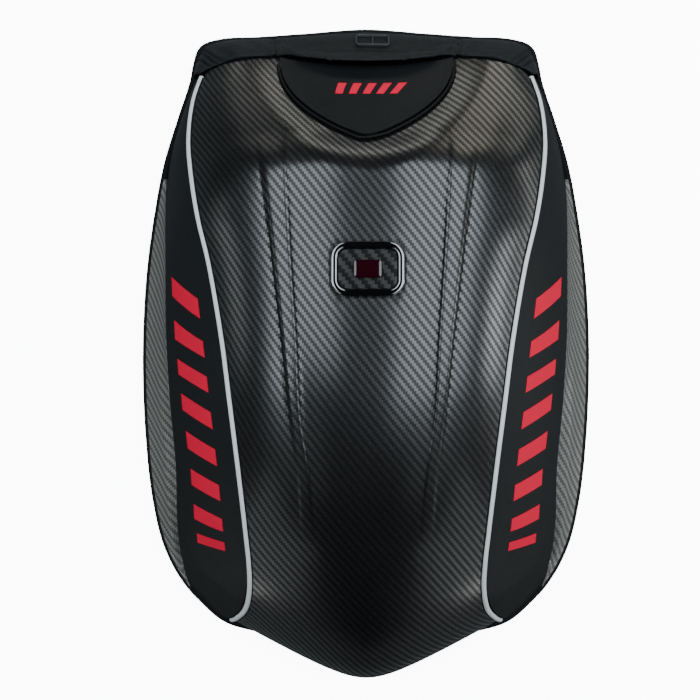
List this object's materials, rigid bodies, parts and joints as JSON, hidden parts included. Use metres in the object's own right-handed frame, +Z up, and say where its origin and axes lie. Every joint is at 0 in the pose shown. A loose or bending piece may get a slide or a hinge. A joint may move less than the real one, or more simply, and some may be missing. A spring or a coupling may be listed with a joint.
{
  "type": "hard-shell motorcycle backpack",
  "caption": "Hard-shell motorcycle backpack lying on its straps: domed carbon-twill shell with raised ribs, smooth side panels, reflective piping, a pointed top flap and a soft collar.",
  "frame": {"origin": "on the floor, under the middle of the bag's box", "axes": "+Z up out of the shell, +Y towards the collar, +X across the bag"},
  "size_m": [0.3354, 0.4837, 0.1552],
  "materials": {
    "twill_shell": "satin, embossed twill",
    "side_leatherette": "satin, fine grain",
    "black_nylon": "fine weave",
    "reflective_piping": "silver reflective",
    "badge_gloss": "gloss",
    "badge_red": "clear gloss",
    "trim_plastic": "moulded, fine grain",
    "red_print": "satin film"
  },
  "bodies": {
    "root": {"centre_shell": "twill_shell", "side_panel_left": "side_leatherette", "side_panel_right": "side_leatherette", "piping_left": "reflective_piping", "piping_right": "reflective_piping", "gusset_left": "twill_shell", "gusset_right": "twill_shell", "rim_binding": "black_nylon", "back_panel": "black_nylon", "collar_left": "black_nylon", "collar_centre": "black_nylon", "collar_right": "black_nylon", "top_flap": "side_leatherette", "flap_piping": "black_nylon", "collar_slider": "trim_plastic", "badge_frame": "badge_gloss", "badge_plate": "badge_gloss", "badge_lens": "badge_red", "shoulder_strap_left": "black_nylon", "shoulder_strap_right": "black_nylon", "strap_adjuster_left": "trim_plastic", "strap_adjuster_right": "trim_plastic", "strap_webbing_left": "black_nylon", "strap_webbing_right": "black_nylon"}
  },
  "joints": []
}
